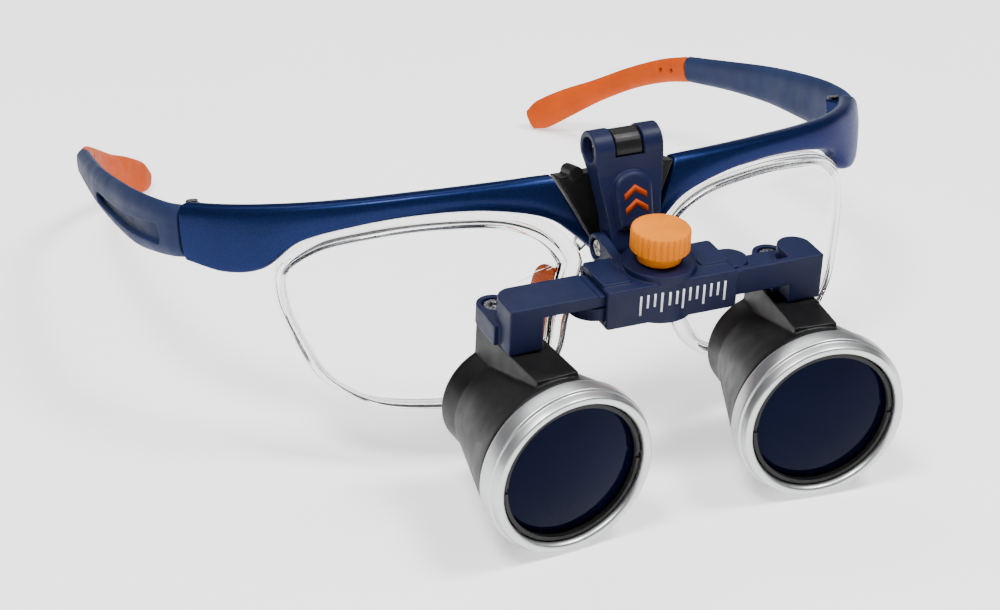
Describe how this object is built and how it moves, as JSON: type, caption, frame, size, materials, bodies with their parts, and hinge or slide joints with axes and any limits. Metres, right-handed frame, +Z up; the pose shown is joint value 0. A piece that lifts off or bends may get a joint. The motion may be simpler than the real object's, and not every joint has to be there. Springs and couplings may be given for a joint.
{
  "type": "dental loupes",
  "caption": "Flip-up dental loupes: half-rim spectacle frame, prescription insert, hinged crossbar with rack and knob for pupil distance, and two telescopes.",
  "frame": {"origin": "middle of the footprint on the surface that the loupes rest on", "axes": "+X to the wearer's left, which is the right as seen from the front, -Y the way the wearer looks, +Z up; at rest on the front rings and the temple tips"},
  "size_m": [0.1612, 0.1892, 0.0661],
  "materials": {
    "brow_bar": "metallic blue lacquer over moulded plastic",
    "slate_plastic": "matte slate navy",
    "navy_plastic": "satin navy moulding",
    "black_shell": "satin black",
    "satin_ring": "satin turned",
    "coated_lens": "dark blue anti-reflection coating",
    "spectacle_lens": "clear polished",
    "clear_rim": "clear polished",
    "orange_rubber": "soft matte orange",
    "amber_plastic": "matte amber",
    "steel": "nickel plated"
  },
  "bodies": {
    "spectacle_frame": {"brow_bar_left": "brow_bar", "brow_bar_right": "brow_bar", "insert_rim_left": "clear_rim", "insert_rim_right": "clear_rim", "insert_lens_left": "spectacle_lens", "insert_lens_right": "spectacle_lens", "nose_pad_left": "orange_rubber", "nose_pad_right": "orange_rubber", "nose_pad_arm_left": "steel", "nose_pad_arm_right": "steel", "hinge_pin_left": "steel", "hinge_pin_right": "steel", "bridge_screw_left": "steel", "bridge_screw_right": "steel", "bridge_block": "black_shell", "insert_bridge": "clear_rim"},
    "temple_left_arm": {"temple_left": "slate_plastic", "temple_tip_left": "orange_rubber"},
    "temple_right_arm": {"temple_right": "slate_plastic", "temple_tip_right": "orange_rubber"},
    "flip_link": {"flip_plate": "navy_plastic", "flip_screw": "steel"},
    "crossbar": {"pd_housing": "navy_plastic", "tilt_screw": "steel"},
    "knob": {"pd_knob": "amber_plastic", "pinion_shaft": "steel"},
    "slider_left": {"arm_left": "navy_plastic", "clamp_screw_left": "steel"},
    "slider_right": {"arm_right": "navy_plastic", "clamp_screw_right": "steel"},
    "telescope_left": {"ocular_barrel_left": "black_shell", "front_ring_left": "satin_ring", "retaining_ring_left": "black_shell", "objective_lens_left": "coated_lens", "eyepiece_lens_left": "spectacle_lens", "eyepiece_ring_left": "black_shell"},
    "telescope_right": {"ocular_barrel_right": "black_shell", "front_ring_right": "satin_ring", "retaining_ring_right": "black_shell", "objective_lens_right": "coated_lens", "eyepiece_lens_right": "spectacle_lens", "eyepiece_ring_right": "black_shell"}
  },
  "joints": [
    {"name": "flip_up", "type": "hinge", "parent": "spectacle_frame", "child": "flip_link", "pos_m": [0, -0.0552, 0.06241], "axis": [-1, 0, 0], "range_deg": [0, 90]},
    {"name": "declination_tilt", "type": "hinge", "parent": "flip_link", "child": "crossbar", "pos_m": [0, -0.06073, 0.04474], "axis": [-1, 0, 0], "range_deg": [-2, 16]},
    {"name": "pd_slide_right", "type": "slide", "parent": "crossbar", "child": "slider_right", "axis": [1, 0, 0], "range_m": [-0.001, 0.0075]},
    {"name": "pd_slide_left", "type": "slide", "parent": "crossbar", "child": "slider_left", "axis": [1, 0, 0], "range_m": [-0.0075, 0.001]},
    {"name": "pd_knob_turn", "type": "hinge", "parent": "crossbar", "child": "knob", "pos_m": [0, -0.07185, 0.04306], "axis": [0, -0.061, 0.9981], "range_deg": [-215, 28.7]},
    {"name": "convergence_right", "type": "hinge", "parent": "slider_right", "child": "telescope_right", "pos_m": [0.02775, -0.06445, 0.03509], "axis": [0, -0.061, 0.9981], "range_deg": [-3, 3]},
    {"name": "convergence_left", "type": "hinge", "parent": "slider_left", "child": "telescope_left", "pos_m": [-0.03005, -0.06445, 0.03509], "axis": [0, -0.061, 0.9981], "range_deg": [-3, 3]},
    {"name": "temple_fold_right", "type": "hinge", "parent": "spectacle_frame", "child": "temple_right_arm", "pos_m": [0.0714, -0.01476, 0.04082], "axis": [0, 0.2164, 0.9763], "range_deg": [0, 90]},
    {"name": "temple_fold_left", "type": "hinge", "parent": "spectacle_frame", "child": "temple_left_arm", "pos_m": [-0.0714, -0.01476, 0.04082], "axis": [0, -0.2164, -0.9763], "range_deg": [0, 73]}
  ],
  "couplings": [
    {"joint": "pd_slide_left", "follows": "pd_slide_right", "ratio": -1},
    {"joint": "pd_knob_turn", "follows": "pd_slide_right", "rad_per_m": -500}
  ]
}
